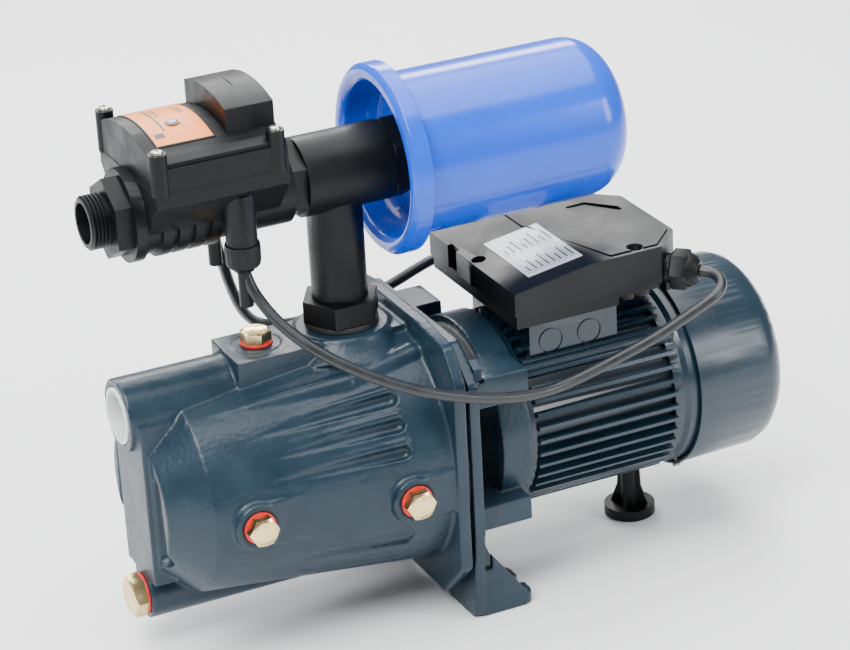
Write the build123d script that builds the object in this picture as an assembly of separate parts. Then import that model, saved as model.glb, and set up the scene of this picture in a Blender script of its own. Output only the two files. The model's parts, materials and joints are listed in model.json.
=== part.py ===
from build123d import *
import math
import os

# Shallow well jet pump with a flow controller, a tee and a small pressure tank.
# Millimetres. +Z up, +X from the suction nose towards the motor fan, Z = 0 on the base.
# The origin is on the base, midway between the two foot bolt slots.

# ---------------------------------------------------------------- driving dimensions
SHAFT_Z = 102.5            # height of the pump and motor shaft
BRANCH_Z = 287.0           # height of the controller, tee and tank axis
OUTLET_X = -70.0           # vertical outlet riser
CLEAR = 0.1                # radial clearance of a plain fit

NOSE_X = -215.0            # front face of the casing nose
DOME_X = -211.0            # front end of the barrel's dome
SHOULDER_X = -187.0        # where the dome meets the tapered barrel
FLANGE_X = -36.0           # front face of the casing flange
FLANGE_BACK = -28.0        # rear face of the casing flange
PLATE_X = -25.0            # front face of the bracket flange
PLATE_BACK = -18.0         # rear face of the bracket flange
NOSE_R, SHOULDER_R, BARREL_R = 46.0, 66.0, 82.0
NOSE_HALF = 24.0           # half width of the nose slab
NOSE_BOTTOM = 51.5
PORT_Z, PORT_R, PORT_FACE = 160.0, 23.0, -220.0
G1_CORE_R, G1_MALE_R = 15.15, 16.6
SLEEVE_R, SLEEVE_X1, GUIDE_R = 17.75, -203.0, 16.4     # threaded sleeve and cross guide in the suction port
DECK_Z, DECK_HALF = 185.0, 22.0
BOSS_TOP = 187.0           # top of the outlet boss
KEEL_Z, KEEL_R = 36.5, 16.0
BOLT_Y, BOLT_Z = 70.0, 64.0    # flange bolts, from the shaft axis

RING_X0, RING_X1, RING_R = 5.0, 26.0, 66.0
FRAME_X1 = 138.0
FRAME_R, FIN_R, BORE_R = 57.0, 64.0, 52.0
FIN_STEP = 8.0             # degrees between motor fins
SHIELD_X1 = 152.0
COVER_X0, COVER_X1, COVER_R, COVER_WALL = 147.0, 211.0, 66.3, 1.6
BEARING_OUT, BEARING_IN, BEARING_W = 17.5, 7.5, 11.0
BEARING_X = (11.0, 129.0)  # front face of each ball bearing
FOOT_Y, FOOT_SLOT_X, FOOT_SLOT_R, FOOT_TOP = 57.5, 0.0, 4.75, 8.5
REAR_FOOT_X = 128.5

BOX_X0, BOX_X1, BOX_HALF = 20.0, 143.0, 60.0     # motor terminal box
BOX_FLOOR, BOX_SEAM, BOX_LOW, BOX_HIGH = 180.5, 189.5, 205.0, 214.0
BOX_STEP_X = 93.0         # where the deep part of the box base ends
BOX_RIDGE_X = 75.0         # where the sloping top turns level
GLAND_Z, GLAND_STUB_R, GLAND_LENGTH = 193.4, 9.5, 21.0     # cable gland on the box's corner
GLAND_PLACE = Pos(BOX_X1 - 10, 10 - BOX_HALF, GLAND_Z) * Rot(0, 0, -45) * Rot(0, 90, 0)

TEE_R, TEE_X0, TEE_X1 = 24.7, -94.5, -37.0
RISER_R, RISER_Z0 = 17.4, 205.0
TANK_R, TANK_RIM_R, TANK_X0, TANK_X1 = 50.5, 59.5, -42.0, 116.0
TANK_BEND = 24.0           # outer radius of the tank's rounded closed end

CTRL_X0, CTRL_X1, CTRL_HALF = -199.0, -116.0, 47.0   # controller box
CTRL_SEAM, CTRL_EDGE, CTRL_TOP, CTRL_EDGE_HALF = 312.0, 330.5, 341.0, 45.5
CTRL_FACE = -229.0         # open end of the male thread
CTRL_BORE_R = 12.5
SCREW_X, SCREW_Y = (-195.0, -122.0), 43.7
TURRET_X0, TURRET_X1, TURRET_HALF = -147.5, -117.0, 32.0
CTRL_GLANDS, CTRL_GLAND_Z = ((-144.5, -35.0), (-136.5, 34.0)), 251.0
BUTTON_X, BUTTON_Y, BUTTON_R = -172.0, -9.0, 3.2

SIDE_PLUGS = ((-161.5, 100.0, 71.0), (-63.0, 96.0, 82.0))    # x, z, distance of the boss face
PRIMING_X, PRIMING_FACE = -127.5, 186.0
WASHER = 1.5
CORD_R = 3.5


# ---------------------------------------------------------------- small helpers
def rod_x(radius, x0, x1, y=0.0, z=SHAFT_Z):
    return Pos((x0 + x1) / 2, y, z) * Rot(0, 90, 0) * Cylinder(radius, x1 - x0)


def rod_y(radius, y0, y1, x, z):
    return Pos(x, (y0 + y1) / 2, z) * Rot(90, 0, 0) * Cylinder(radius, y1 - y0)


def rod_z(radius, z0, z1, x, y):
    return Pos(x, y, (z0 + z1) / 2) * Cylinder(radius, z1 - z0)


def pipe_x(outer, inner, x0, x1, y=0.0, z=SHAFT_Z):
    return rod_x(outer, x0, x1, y, z) - rod_x(inner, x0 - 1, x1 + 1, y, z)


def pipe_z(outer, inner, z0, z1, x, y):
    return rod_z(outer, z0, z1, x, y) - rod_z(inner, z0 - 1, z1 + 1, x, y)


def block(x0, x1, y0, y1, z0, z1):
    centre = Pos((x0 + x1) / 2, (y0 + y1) / 2, (z0 + z1) / 2)
    return centre * Box(x1 - x0, y1 - y0, z1 - z0)


def hex_x(flats, x0, x1, y=0.0, z=SHAFT_Z):
    face = RegularPolygon(flats / 2, 6, major_radius=False)
    return Pos(x0, y, z) * Rot(0, 90, 0) * extrude(face, amount=x1 - x0)


def hex_z(flats, z0, z1, x, y):
    face = RegularPolygon(flats / 2, 6, major_radius=False)
    return Pos(x, y, z0) * extrude(face, amount=z1 - z0)


def turned_x(profile, z=SHAFT_Z):
    """Turn a closed outline of (x, radius) points about an axis along X."""
    points = [(x, 0, z + radius) for x, radius in profile]
    return revolve(make_face(Polyline(*points, close=True)), Axis((0, 0, z), (1, 0, 0)))


def plate_x(outline, x0, x1, corner):
    """Extrude a (y, z) outline along X, with rounded corners."""
    face = make_face(Polyline(*[(x0, y, z) for y, z in outline], close=True))
    plate = extrude(face, amount=x1 - x0, dir=(1, 0, 0))
    return fillet(plate.edges().filter_by(Axis.X), corner)


def mirrored(shape):
    return shape + mirror(shape, about=Plane.XZ)


def group(shapes):
    return Compound(children=[solid for shape in shapes for solid in shape.solids()])


# ---------------------------------------------------------------- pump end
def barrel(offset):
    """Dome and tapered barrel of the casing, moved inwards by a wall thickness."""
    return turned_x([
        (DOME_X + offset, 0), (DOME_X + offset, NOSE_R - offset),
        (SHOULDER_X + offset * 0.5, SHOULDER_R - offset), (FLANGE_X, BARREL_R - offset),
        (FLANGE_X, 0)])


def casing_flange():
    outline = [(-84, 40), (-56, 12.5), (56, 12.5), (84, 40), (86, 169), (72, 187.5),
               (32, 192), (-32, 192), (-72, 187.5), (-86, 169)]
    return plate_x(outline, FLANGE_X, FLANGE_BACK, 7)


def side_boss(x, z, face):
    boss = rod_y(14.5, -face, -40, x, z)
    return boss + block(x, FLANGE_X + 2, -face, -40, z - 14.5, z + 14.5)


def flutes():
    """Tapered grooves in the barrel's sides: each starts at the surface and deepens rearwards."""
    grooves = []
    for angle, start in ((42.5, -133.0), (30.3, -145.0), (17.8, -149.0), (-30.0, -133.0), (-45.0, -133.0)):
        tilt = math.radians(angle)
        radius = 78.0
        y = -radius * math.cos(tilt)
        z = SHAFT_Z + radius * math.sin(tilt)
        groove = rod_x(3.4, start, -65.5, y, z)
        grooves += [groove, mirror(groove, about=Plane.XZ)]
    return grooves


def pump_casing():
    body = barrel(0) + casing_flange()
    body += block(NOSE_X, SHOULDER_X + 20, -NOSE_HALF, NOSE_HALF, NOSE_BOTTOM, PORT_Z)
    body += rod_x(PORT_R, PORT_FACE, -119, 0, PORT_Z)
    body += block(-149, FLANGE_X + 2, -DECK_HALF, DECK_HALF, PORT_Z, DECK_Z)
    body += rod_z(14.5, 150, PRIMING_FACE, PRIMING_X, 0)
    body += rod_z(28, 150, BOSS_TOP, OUTLET_X, 0)
    body += rod_x(KEEL_R, NOSE_X, -69, 0, KEEL_Z)
    body += block(NOSE_X, -159, -12, 12, KEEL_Z, NOSE_BOTTOM + 4)
    for x, z, face in SIDE_PLUGS:
        body += side_boss(x, z, face)
    for groove in flutes():
        body -= groove
    # pressure chamber, suction chamber and the passages between them
    mouth = turned_x([(FLANGE_X - 1, 0), (FLANGE_X - 1, 75), (FLANGE_BACK + 1, 75), (FLANGE_BACK + 1, 0)])
    body -= barrel(6.5) + mouth
    body += rod_x(62, DOME_X + 2, DOME_X + 22) & barrel(3)
    body -= block(NOSE_X + 6, NOSE_X + 19, -17, 17, 62, PORT_Z)
    body -= rod_x(9, NOSE_X + 18, DOME_X + 23)
    body -= rod_x(SLEEVE_R + CLEAR, PORT_FACE - 1, SLEEVE_X1 + 0.5, 0, PORT_Z)
    body -= rod_x(GUIDE_R + CLEAR, SLEEVE_X1, NOSE_X + 19, 0, PORT_Z)
    # threaded ports, as plain bores
    body -= rod_z(G1_CORE_R, 150, BOSS_TOP + 1, OUTLET_X, 0)
    body -= rod_z(6.65, 150, PRIMING_FACE + 1, PRIMING_X, 0)
    body -= rod_x(8.3, NOSE_X - 1, NOSE_X + 14, 0, KEEL_Z)
    body -= rod_x(8.3, NOSE_X + 13, -119, 0, KEEL_Z)
    for x, z, face in SIDE_PLUGS:
        body -= rod_y(6.65, -face - 1, -45, x, z)
    for y, z in bolt_places():
        body -= rod_x(4 + CLEAR, FLANGE_BACK - 7, FLANGE_BACK + 1, y, z)
    return body


def bolt_places():
    return [(y, SHAFT_Z + z) for y in (-BOLT_Y, BOLT_Y) for z in (-BOLT_Z, BOLT_Z)]


def suction_insert():
    """Threaded sleeve, and behind it a ring with a cross that guides the water."""
    sleeve = pipe_x(SLEEVE_R, G1_CORE_R, PORT_FACE - 1, SLEEVE_X1, 0, PORT_Z)
    x0, x1 = SLEEVE_X1 + 4, NOSE_X + 19 - CLEAR
    guide = pipe_x(GUIDE_R, GUIDE_R - 2, x0, x1, 0, PORT_Z)
    guide += block(x0, x1, -GUIDE_R + 1, GUIDE_R - 1, PORT_Z - 0.7, PORT_Z + 0.7)
    guide += block(x0, x1, -0.7, 0.7, PORT_Z - GUIDE_R + 1, PORT_Z + GUIDE_R - 1)
    return group([sleeve, guide])


def side_plug(x, z, face):
    head = face + WASHER
    plug = rod_y(6.55, -head, -head + 16, x, z)
    flats = extrude(RegularPolygon(8.5, 6, major_radius=False), amount=7.5)
    return plug + Pos(x, -head, z) * Rot(90, 0, 0) * flats


def drain_plug():
    face = NOSE_X - WASHER
    return hex_x(24, face - 8.5, face, 0, KEEL_Z) + rod_x(8.2, face, face + 13, 0, KEEL_Z)


def priming_plug():
    face = PRIMING_FACE + WASHER
    return hex_z(17, face, face + 7.5, PRIMING_X, 0) + rod_z(6.55, face - 14, face, PRIMING_X, 0)


def plug_washers():
    rings = [pipe_z(10.3, 6.8, PRIMING_FACE, PRIMING_FACE + WASHER, PRIMING_X, 0)]
    rings.append(pipe_x(13.2, 8.5, NOSE_X - WASHER, NOSE_X, 0, KEEL_Z))
    for x, z, face in SIDE_PLUGS:
        ring = rod_y(10.3, -face - WASHER, -face, x, z)
        rings.append(ring - rod_y(6.8, -face - 3, 0, x, z))
    return group(rings)


def jet_nozzle():
    start = NOSE_X + 16
    tip = start + 34
    return turned_x([(start, 4.2), (start, 12), (start + 3, 12), (start + 3, 8.9),
                     (start + 9, 8.9), (tip, 5.2), (tip, 3.2)])


def venturi_tube():
    return turned_x([(-159, 6), (-159, 11), (-149, 11), (-81, 14), (-81, 18), (-76.2, 18),
                     (-76.2, 15.9), (-73, 15.9), (-73, 13.4), (-76.2, 9.5), (-134, 4.2)])


def diffuser():
    cup = pipe_x(62, 16, -76, -72) + pipe_x(62, 59, -72, FLANGE_BACK)
    vanes = []
    for turn in range(10):
        vane = block(-72, -52, 49, 59.5, SHAFT_Z - 1.2, SHAFT_Z + 1.2)
        vanes.append(Pos(0, 0, SHAFT_Z) * Rot(36 * turn, 0, 0) * Pos(0, 0, -SHAFT_Z) * vane)
    for vane in vanes:
        cup += vane
    return cup


def impeller():
    wheel = turned_x([(-71.5, 12.5), (-71.5, 15), (-68, 15), (-66, 45), (-64, 45), (-66, 12.5)])
    wheel += turned_x([(-53, 6 + 0.02), (-53, 45), (-51, 45), (-51, 12), (-47, 12), (-47, 6 + 0.02)])
    hub = pipe_x(10, 6 + 0.02, -66, -52)
    for turn in range(6):
        vane = block(-66.5, -52, 9.5, 44, SHAFT_Z - 1, SHAFT_Z + 1)
        hub += Pos(0, 0, SHAFT_Z) * Rot(60 * turn, 0, 0) * Pos(0, 0, -SHAFT_Z) * vane
    return wheel + hub


def impeller_nut():
    return hex_x(13, -73, -66.1) - rod_x(5 + 0.02, -74, -65)


def seal_plate():
    return pipe_x(77, 14, FLANGE_BACK, FLANGE_BACK + 2)


def casing_gasket():
    return pipe_x(80, 64, FLANGE_BACK + 2, PLATE_X)


def seal_seat():
    return pipe_x(13.95, 7.5, FLANGE_BACK - 3, FLANGE_BACK + 3)


def seal_head():
    return pipe_x(12, 6 + 0.02, FLANGE_BACK - 8, FLANGE_BACK - 3.1)


def seal_spring():
    wire = 0.8
    height = 10.5
    path = Helix(pitch=3.5, height=height - 2 * wire - 0.2, radius=8.6)
    section = Plane(origin=path @ 0, z_dir=path % 0) * Circle(wire)
    spring = sweep(section, path=path, is_frenet=True)
    return Pos(FLANGE_BACK - 18.9 + wire + 0.1, 0, SHAFT_Z) * Rot(0, 90, 0) * spring


# ---------------------------------------------------------------- motor bracket with feet
def foot():
    """Near-side foot: a pad with a slot open to the rear, and two side webs."""
    pad = block(PLATE_BACK - 1, 17, -77, -38, 0, FOOT_TOP)
    pad = fillet(pad.edges().filter_by(Axis.Z).sort_by(Axis.X)[-2:], 6)
    pad -= rod_z(FOOT_SLOT_R, -1, FOOT_TOP + 1, FOOT_SLOT_X, -FOOT_Y)
    pad -= block(FOOT_SLOT_X, 21, -FOOT_Y - FOOT_SLOT_R, -FOOT_Y + FOOT_SLOT_R, -1, FOOT_TOP + 1)
    for y0, y1 in ((-76.5, -71.5), (-43, -38)):
        web = make_face(Polyline((PLATE_BACK - 1, y0, 0), (13, y0, 0), (13, y0, FOOT_TOP),
                                 (PLATE_BACK - 1, y0, 52), close=True))
        pad += extrude(web, amount=y1 - y0, dir=(0, 1, 0))
    return pad


def beam(y0, y1, z0, z1):
    return block(PLATE_BACK - 1, RING_X0 + 14, y0, y1, SHAFT_Z + z0, SHAFT_Z + z1)


def motor_bracket():
    outline = [(-77, 0), (-40, 0), (-30, 12), (30, 12), (40, 0), (77, 0), (83, 60),
               (83.5, 163), (58, 183), (-58, 183), (-83.5, 163), (-83, 60)]
    body = plate_x(outline, PLATE_X, PLATE_BACK, 5)
    body += rod_x(30, PLATE_BACK - 1, PLATE_BACK + 6)
    body += mirrored(foot())
    body += mirrored(beam(-76, -45, 40, 60) + beam(-74, -45, -45, -29))
    body += pipe_x(RING_R, 60, RING_X0, RING_X1)
    body -= rod_x(60, RING_X0, RING_X1 + 1)
    body += rod_x(61, RING_X0 + 2, RING_X0 + 7)
    body += rod_x(23, RING_X0 + 2, BEARING_X[0] + BEARING_W)
    body -= rod_x(BEARING_OUT, BEARING_X[0], RING_X1)
    body -= rod_x(11, PLATE_X - 1, RING_X1)
    body -= rod_x(16, PLATE_X - 1, PLATE_X + 5)
    for y, z in bolt_places():
        body -= rod_x(4.4, PLATE_X - 1, PLATE_BACK + 1, y, z)
        body -= rod_x(9, PLATE_BACK, PLATE_BACK + 7, y, z)
    return body


def flange_bolts():
    bolts = []
    for y, z in bolt_places():
        head = hex_x(13, PLATE_BACK, PLATE_BACK + 5.3, y, z)
        bolts.append(head + rod_x(4, FLANGE_BACK - 6.5, PLATE_BACK, y, z))
    return group(bolts)


# ---------------------------------------------------------------- motor
def motor_frame():
    body = rod_x(FRAME_R, RING_X1, FRAME_X1)
    for turn in range(int(360 / FIN_STEP)):
        angle = turn * FIN_STEP + FIN_STEP / 2
        fin = block(RING_X1 + 6, FRAME_X1 - 6, FRAME_R - 2, FIN_R, SHAFT_Z - 1.2, SHAFT_Z + 1.2)
        fin = Pos(0, 0, SHAFT_Z) * Rot(angle, 0, 0) * Pos(0, 0, -SHAFT_Z) * fin
        body += fin
    body += rod_x(61, FRAME_X1 - 7, FRAME_X1)
    body += rod_x(61.5, RING_X1, RING_X1 + 5)
    body += block(39, 101, -40, 40, 145, BOX_FLOOR)
    body += block(REAR_FOOT_X - 11, FRAME_X1, -9, 9, 41, 56)
    for angle in (45, 135, 225, 315):
        body += screw_lug(5.5, RING_X1, FRAME_X1, angle)
    body -= rod_x(BORE_R, RING_X1 - 1, FRAME_X1 + 1)
    for angle in (45, 135, 225, 315):
        body -= screw_lug(2.1, FRAME_X1 - 16, FRAME_X1 + 1, angle)
    for x in (53.6, 80.8):
        for side in (-1, 1):
            rim = rod_y(8.6, side * 40 - 0.8, side * 40 + 0.8, x, 159) - rod_y(7.6, -50, 50, x, 159)
            body -= rim
    body -= rod_z(5.1, 40, 47, REAR_FOOT_X, 0)
    body -= block(REAR_FOOT_X - 11, FRAME_X1 + 1, -10, 10, 36, 41)
    return body


def screw_lug(radius, x0, x1, angle):
    y = 58.0 * math.cos(math.radians(angle))
    z = SHAFT_Z + 58.0 * math.sin(math.radians(angle))
    return rod_x(radius, x0, x1, y, z)


def rear_end_shield():
    disc = turned_x([(FRAME_X1 - 4, 48), (FRAME_X1 - 4, 51.9), (FRAME_X1, 51.9), (FRAME_X1, 61),
                     (FRAME_X1 + 3, 63.2), (SHIELD_X1, 63.2), (SHIELD_X1, 58), (FRAME_X1 + 6, 58),
                     (FRAME_X1 + 6, 9), (FRAME_X1 + 2, 9), (FRAME_X1 + 2, 48)])
    body = disc + pipe_x(23, BEARING_OUT, BEARING_X[1], FRAME_X1 + 3)
    body += pipe_x(23, 9, FRAME_X1 + 2, FRAME_X1 + 6)
    for angle in (45, 135, 225, 315):
        body -= screw_lug(2.4, FRAME_X1 - 1, SHIELD_X1, angle)
        body -= screw_lug(4.2, FRAME_X1 + 6, SHIELD_X1 + 1, angle)
    for angle in cover_screw_angles():
        body -= radial_rod(1.6, 56, 66, angle)
    return body


def cover_screw_angles():
    return (90, 245, 295)


def radial_rod(radius, r0, r1, angle):
    rod = rod_y(radius, r0, r1, COVER_X0 + 3, 0)
    return Pos(0, 0, SHAFT_Z) * Rot(angle, 0, 0) * rod


def end_shield_screws():
    screws = []
    for angle in (45, 135, 225, 315):
        head = screw_lug(3.6, FRAME_X1 + 6, FRAME_X1 + 9, angle)
        screws.append(head + screw_lug(2.0, FRAME_X1 - 15, FRAME_X1 + 6, angle))
    return group(screws)


def fan_cover():
    r = COVER_R
    inner = COVER_WALL
    body = turned_x([(COVER_X0, r - inner), (COVER_X0, r), (199.5, r - 1.2), (205.5, r - 3.4),
                     (COVER_X1, r - 9), (COVER_X1, 0), (COVER_X1 - inner, 0), (COVER_X1 - inner, r - 10),
                     (204.5, r - 5), (199.2, r - 1.2 - inner)])
    slots = None
    for r0, r1 in ((16, 21), (25, 30), (34, 39), (43, 48)):
        ring = pipe_x(r1, r0, COVER_X1 - 4, COVER_X1 + 1)
        slots = ring if slots is None else slots + ring
    for turn in range(3):
        spoke = block(COVER_X1 - 5, COVER_X1 + 2, -60, 60, SHAFT_Z - 3, SHAFT_Z + 3)
        slots -= Pos(0, 0, SHAFT_Z) * Rot(60 * turn + 30, 0, 0) * Pos(0, 0, -SHAFT_Z) * spoke
    body -= slots
    for angle in cover_screw_angles():
        body -= radial_rod(2.2, 60, 70, angle)
    return body


def fan_cover_screws():
    screws = []
    for angle in cover_screw_angles():
        head = radial_rod(3.8, COVER_R, COVER_R + 2, angle)
        screws.append(head + radial_rod(1.5, 58.5, COVER_R + 1, angle))
    return group(screws)


def cooling_fan():
    fan = pipe_x(13, 5.52, 159, 181) + pipe_x(56, 12, 159, 161)
    for turn in range(8):
        blade = block(160, 187, 12, 56, SHAFT_Z - 1, SHAFT_Z + 1)
        fan += Pos(0, 0, SHAFT_Z) * Rot(45 * turn, 0, 0) * Pos(0, 0, -SHAFT_Z) * blade
    return fan - rod_x(5.52, 151, 191)


def rotor_shaft():
    steps = ((5, -76, -66), (6, -66, BEARING_X[0] - 3), (BEARING_IN - 0.02, BEARING_X[0] - 3, 22),
             (9, 22, BEARING_X[1]), (BEARING_IN - 0.02, BEARING_X[1], 142), (5.5, 142, 185))
    shaft = None
    for radius, x0, x1 in steps:
        step = rod_x(radius, x0, x1)
        shaft = step if shaft is None else shaft + step
    return shaft


def bearing_pair(make_ring):
    return group([make_ring(x, x + BEARING_W) for x in BEARING_X])


def bearing_outer_rings():
    return bearing_pair(lambda x0, x1: pipe_x(BEARING_OUT - 0.02, 14.6, x0, x1))


def bearing_inner_rings():
    return bearing_pair(lambda x0, x1: pipe_x(10.3, BEARING_IN, x0, x1))


def bearing_balls():
    balls = []
    for x in BEARING_X:
        for turn in range(8):
            angle = math.radians(45 * turn)
            y = 12.45 * math.cos(angle)
            z = SHAFT_Z + 12.45 * math.sin(angle)
            balls.append(Pos(x + BEARING_W / 2, y, z) * Sphere(2.05))
    return group(balls)


def stator_core():
    core = pipe_x(BORE_R - 0.02, 30.4, 51, 113)
    for turn in range(12):
        slot = block(50, 114, 32, 44, SHAFT_Z - 3, SHAFT_Z + 3)
        core -= Pos(0, 0, SHAFT_Z) * Rot(30 * turn, 0, 0) * Pos(0, 0, -SHAFT_Z) * slot
    return core


def stator_windings():
    front = turned_x([(37, 38), (37, 44), (40, 48), (50.9, 48), (50.9, 33), (40, 33)])
    rear = turned_x([(125, 38), (125, 44), (122, 48), (113.1, 48), (113.1, 33), (122, 33)])
    coils = [front, rear]
    for turn in range(12):
        bar = block(51, 113, 33, 43, SHAFT_Z - 2.6, SHAFT_Z + 2.6)
        coils.append(Pos(0, 0, SHAFT_Z) * Rot(30 * turn, 0, 0) * Pos(0, 0, -SHAFT_Z) * bar)
    return group(coils)


def rotor_core():
    return pipe_x(29.9, 9, 51, 113) + pipe_x(28, 20, 47, 51) + pipe_x(28, 20, 113, 117)


def rear_foot():
    post = rod_z(16.8, 0, 7, REAR_FOOT_X, 0)
    post += rod_z(5.6, 6, 41, REAR_FOOT_X, 0) + rod_z(5, 40, 46.5, REAR_FOOT_X, 0)
    for turn in range(4):
        rib = make_face(Polyline((4, 0, 6), (13, 0, 6), (8, 0, 20), (7, 0, 41), (4, 0, 41), close=True))
        rib = extrude(rib, amount=1.1, both=True)
        post += Pos(REAR_FOOT_X, 0, 0) * Rot(0, 0, 90 * turn + 45) * rib
    return post


# ---------------------------------------------------------------- terminal box
def box_outline(inset):
    x0, x1, half = BOX_X0 + inset, BOX_X1 - inset, BOX_HALF - inset
    near, far = 20.0, 33.0
    near_side = [(x0, -half), (x1 - near, -half), (x1, -half + near)]
    return near_side + [(x1, half - far), (x1 - far, half), (x0, half)]


def box_prism(inset, z0, z1):
    face = make_face(Polyline(*[(x, y, z0) for x, y in box_outline(inset)], close=True))
    return extrude(face, amount=z1 - z0)


def box_top(drop):
    """Everything under the cover's sloping top face, lowered by a thickness."""
    side = make_face(Polyline(
        (BOX_X0 - 5, -80, BOX_FLOOR - 10), (BOX_X0 - 5, -80, BOX_LOW - drop - 0.8),
        (BOX_RIDGE_X, -80, BOX_HIGH - 0.5 - drop), (BOX_X1 + 5, -80, BOX_HIGH - drop),
        (BOX_X1 + 5, -80, BOX_FLOOR - 10), close=True))
    return extrude(side, amount=160, dir=(0, 1, 0))


def cover_screw_places():
    return ((25.5, 0.0), (108.0, -53.0), (108.0, 45.0))


def terminal_base():
    deep = box_prism(1.5, BOX_FLOOR, BOX_SEAM) & block(BOX_X0, BOX_STEP_X, -70, 70, 0, 300)
    shallow = box_prism(1.5, BOX_SEAM - 4, BOX_SEAM) & block(BOX_STEP_X - 1, BOX_X1, -70, 70, 0, 300)
    base = deep + shallow
    base += block(BOX_X1 - 4.5, BOX_X1 - 1.5, -38, 10, 172, BOX_SEAM)
    base -= block(BOX_X0 + 5, BOX_STEP_X - 4, -54, 54, BOX_FLOOR + 2.5, BOX_SEAM + 1)
    base -= block(BOX_STEP_X - 6, BOX_X1 - 6, -30, 25, BOX_SEAM - 1.5, BOX_SEAM + 1)
    base += rod_z(5, BOX_FLOOR, BOX_SEAM - 3, 103, -50) + rod_z(6.5, BOX_FLOOR - 2, BOX_SEAM - 3, 116, -44)
    for x, y in cover_screw_places():
        base += rod_z(4, BOX_FLOOR + (0 if x < BOX_STEP_X else 5), BOX_SEAM, x, y)
        base -= rod_z(1.7, BOX_SEAM - 3.5, BOX_SEAM + 1, x, y)
    return base


def terminal_cover():
    cover = box_prism(0, BOX_SEAM, BOX_HIGH + 5) & box_top(0)
    cover -= box_prism(2.5, BOX_SEAM - 1, BOX_HIGH) & box_top(2.5)
    cover += GLAND_PLACE * Pos(0, 0, 5) * Cylinder(GLAND_STUB_R, 12)
    cover -= GLAND_PLACE * Pos(0, 0, 4) * Cylinder(4.2, 20)
    for x, y in cover_screw_places():
        seat = 201.0 if x < BOX_RIDGE_X else 209.0
        cover += rod_z(6.5, BOX_SEAM, BOX_HIGH, x, y) & box_top(1)
        cover -= rod_z(4.6, seat, BOX_HIGH + 1, x, y)
        cover -= rod_z(1.9, BOX_SEAM - 1, seat + 1, x, y)
    return cover


def terminal_cover_screws():
    screws = []
    for x, y in cover_screw_places():
        seat = 201.0 if x < BOX_RIDGE_X else 209.0
        screws.append(rod_z(3.6, seat, seat + 2.4, x, y) + rod_z(1.6, BOX_SEAM - 3, seat, x, y))
    return group(screws)


def rating_plate():
    plate = block(37, 79, -46, 16, 150, 250)
    return plate & (box_top(-0.5) - box_top(0))


def terminal_block():
    body = block(89, 123, -20, 12, BOX_SEAM - 1.5, BOX_SEAM + 9)
    for y in (-14, -6, 2):
        for x in (97, 115):
            body -= rod_z(2.4, BOX_SEAM + 4, BOX_SEAM + 10, x, y)
    return body


def run_capacitor():
    return rod_x(9.5, 36, 83, 36, BOX_FLOOR + 2.5 + 9.5) + rod_x(6, 32, 36, 36, BOX_FLOOR + 2.5 + 9.5)


def terminal_gland_nut():
    nut = GLAND_PLACE * Pos(0, 0, 3) * extrude(RegularPolygon(11.5, 6, major_radius=False), amount=11)
    nut += GLAND_PLACE * Pos(0, 0, 17.5) * Cone(11.4, 8, GLAND_LENGTH - 14)
    nut -= GLAND_PLACE * Pos(0, 0, 7) * Cylinder(GLAND_STUB_R + CLEAR, 9)
    return nut - GLAND_PLACE * Pos(0, 0, 10) * Cylinder(4.2, 16)


# ---------------------------------------------------------------- outlet, tee and tank
def outlet_nipple():
    body = hex_z(44, 190.5, RISER_Z0, OUTLET_X, 0) + rod_z(G1_CORE_R - CLEAR, 171, 191, OUTLET_X, 0)
    body += rod_z(12, RISER_Z0 - 1, RISER_Z0 + 17, OUTLET_X, 0)
    return body - rod_z(9.5, 160, 230, OUTLET_X, 0)


def nipple_seal():
    return pipe_z(23, G1_CORE_R, BOSS_TOP, 190.5, OUTLET_X, 0)


def outlet_tee():
    body = rod_x(TEE_R, TEE_X0, TEE_X1, 0, BRANCH_Z) + rod_z(RISER_R, RISER_Z0, BRANCH_Z, OUTLET_X, 0)
    body -= rod_x(18, TEE_X0 - 1, TEE_X1 + 1, 0, BRANCH_Z)
    return body - rod_z(12 + CLEAR, RISER_Z0 - 1, BRANCH_Z, OUTLET_X, 0)


def tank_nipple():
    body = hex_x(46, TEE_X1, TEE_X1 + 13, 0, BRANCH_Z) + rod_x(17.9, TEE_X1 - 12, TEE_X1 + 1, 0, BRANCH_Z)
    body += rod_x(13, TEE_X1 + 12, TEE_X1 + 28, 0, BRANCH_Z)
    return body - rod_x(9.5, TEE_X1 - 20, TEE_X1 + 40, 0, BRANCH_Z)


def tank_shell():
    """Deep drawn cup with a rounded closed end and a turned-out mouth."""
    r, wall = TANK_R, 1.5
    outer = rod_x(r, -31, TANK_X1, 0, BRANCH_Z)
    outer = fillet(outer.edges().sort_by(Axis.X)[-1], TANK_BEND)
    inner = rod_x(r - wall, -39, TANK_X1 - wall, 0, BRANCH_Z)
    inner = fillet(inner.edges().sort_by(Axis.X)[-1], TANK_BEND - wall)
    mouth = pipe_x(TANK_RIM_R - 1.6, r - 1, -31, -28.5, 0, BRANCH_Z)
    return outer + mouth - inner - rod_x(3.1, TANK_X1 - 5, TANK_X1 + 1, 0, BRANCH_Z)


def tank_front_plate():
    """Rim rolled over the mouth, then stepped inwards to a flat centre with a threaded neck."""
    r = TANK_RIM_R
    plate = turned_x([
        (-29, r), (TANK_X0 + 3, r), (TANK_X0, r - 3), (TANK_X0, r - 8), (TANK_X0 + 3, r - 11),
        (-32.5, 48.4), (-24, 47), (-19, 43), (-19, 13.1), (-11, 13.1), (-11, 16.5), (-17.5, 16.5),
        (-17.5, 44), (-22.5, 48.7), (-31.1, 48.9), (-31.1, r - 1.5), (-29, r - 1.5)], BRANCH_Z)
    return plate


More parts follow.
